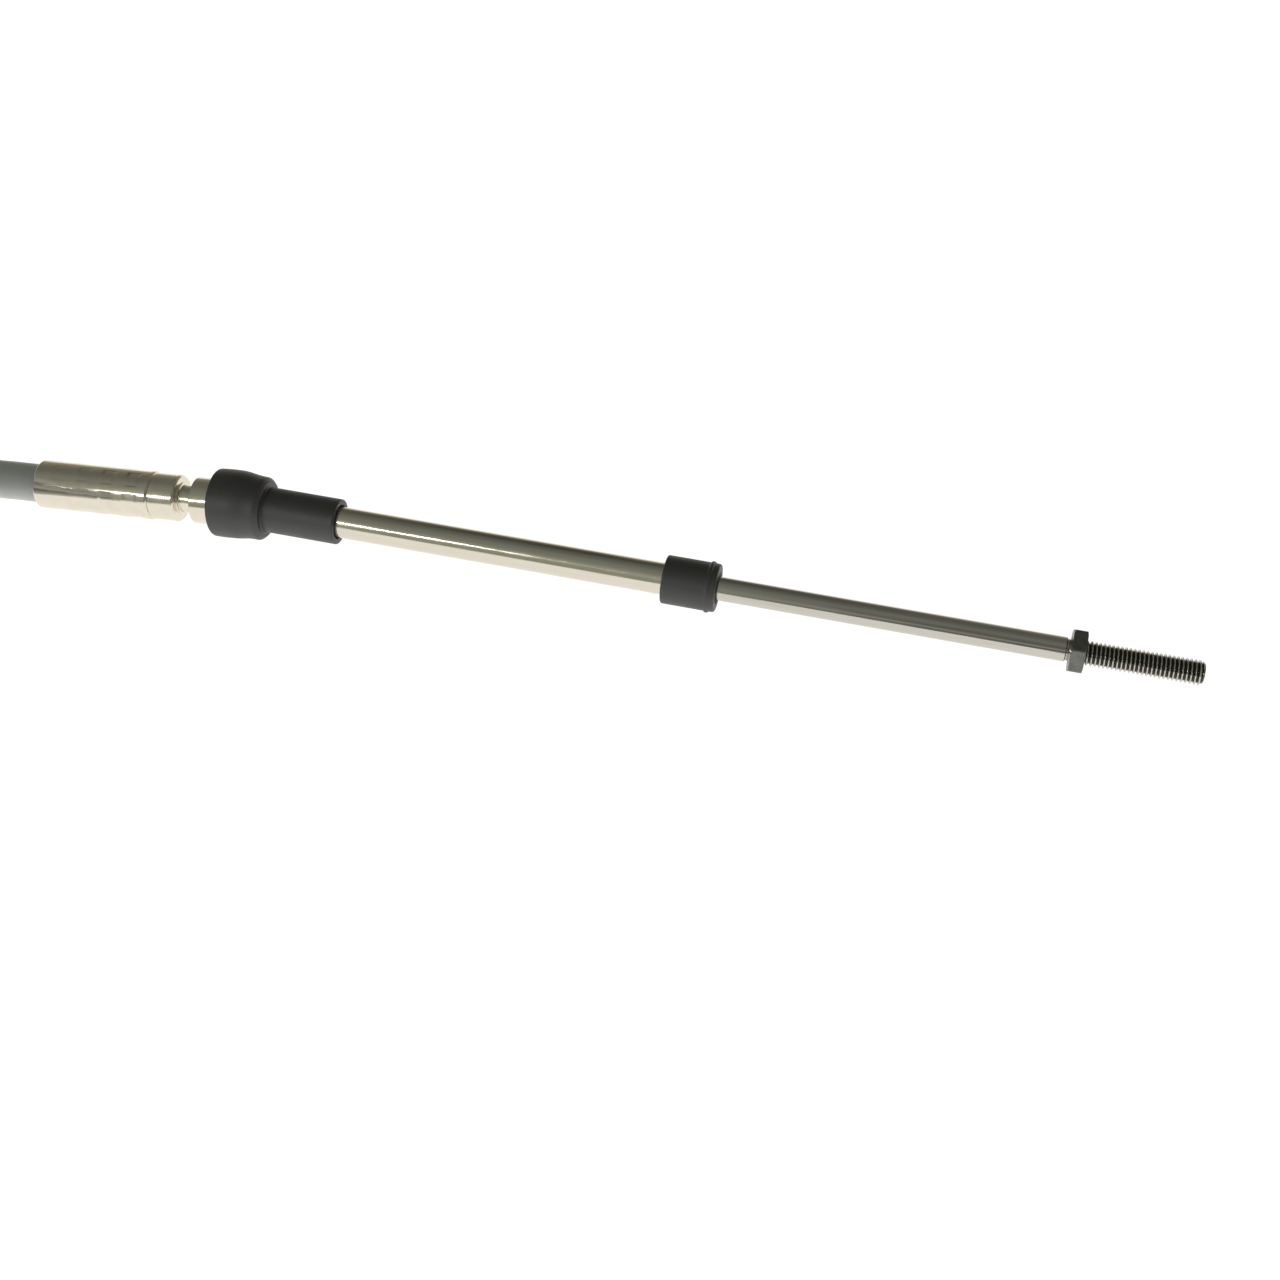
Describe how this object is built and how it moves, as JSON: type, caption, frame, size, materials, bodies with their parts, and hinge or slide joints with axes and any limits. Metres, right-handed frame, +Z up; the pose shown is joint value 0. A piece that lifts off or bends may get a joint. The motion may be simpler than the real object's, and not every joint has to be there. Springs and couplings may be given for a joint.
{
  "type": "boat control cable",
  "caption": "Push-pull control cable: grey conduit, crimped hubs with clamp grooves, rubber boots, swivelling tubes, wiper seals and threaded rods with jam nuts.",
  "frame": {"origin": "on the floor, below the middle of the near end's box", "axes": "+X along the near end towards its threaded tip, +Z up, the hank on the -Y side"},
  "size_m": [0.4593, 0.0957, 0.0318],
  "materials": {
    "plated_steel": "bright plated, crimped",
    "stainless": "ground and polished",
    "dark_steel": "satin",
    "black_rubber": "moulded, satin",
    "grey_jacket": "extruded, satin",
    "nylon": "moulded"
  },
  "bodies": {
    "cable": {"near_hub": "plated_steel", "near_boot": "black_rubber", "far_hub": "plated_steel", "far_boot": "black_rubber", "conduit_lead": "grey_jacket", "conduit_coil": "grey_jacket", "conduit_tail": "grey_jacket", "tie_run": "nylon", "tie_fitting": "nylon"},
    "near_support": {"near_tube": "stainless", "near_wiper_seal": "black_rubber"},
    "near_push_rod": {"near_rod": "stainless"},
    "near_nut": {"near_jam_nut": "dark_steel"},
    "far_support": {"far_tube": "stainless", "far_wiper_seal": "black_rubber"},
    "far_push_rod": {"far_rod": "stainless"},
    "far_nut": {"far_jam_nut": "dark_steel"}
  },
  "joints": [
    {"name": "near_swivel", "type": "hinge", "parent": "cable", "child": "near_support", "pos_m": [-0.0743, 0, 0.00694], "axis": [0, 0, 1], "range_deg": [-6.4, 9.6], "deforming": ["near_boot"]},
    {"name": "near_rod_slide", "type": "slide", "parent": "near_support", "child": "near_push_rod", "axis": [0.9999, 0, -0.0145], "range_m": [-0.066, 0.0102]},
    {"name": "near_nut_run", "type": "slide", "parent": "near_push_rod", "child": "near_nut", "axis": [0.9999, 0, -0.0145], "range_m": [0, 0.0215]},
    {"name": "far_swivel", "type": "hinge", "parent": "cable", "child": "far_support", "pos_m": [-0.20499, -0.00381, 0.02476], "axis": [0, 0, 1], "range_deg": [-8, 8], "deforming": ["far_boot"]},
    {"name": "far_rod_slide", "type": "slide", "parent": "far_support", "child": "far_push_rod", "axis": [-0.9998, 0, -0.0186], "range_m": [-0.0102, 0.066]},
    {"name": "far_nut_run", "type": "slide", "parent": "far_push_rod", "child": "far_nut", "axis": [-0.9998, 0, -0.0186], "range_m": [0, 0.0215]}
  ],
  "couplings": [
    {"joint": "far_rod_slide", "follows": "near_rod_slide", "ratio": -1}
  ]
}
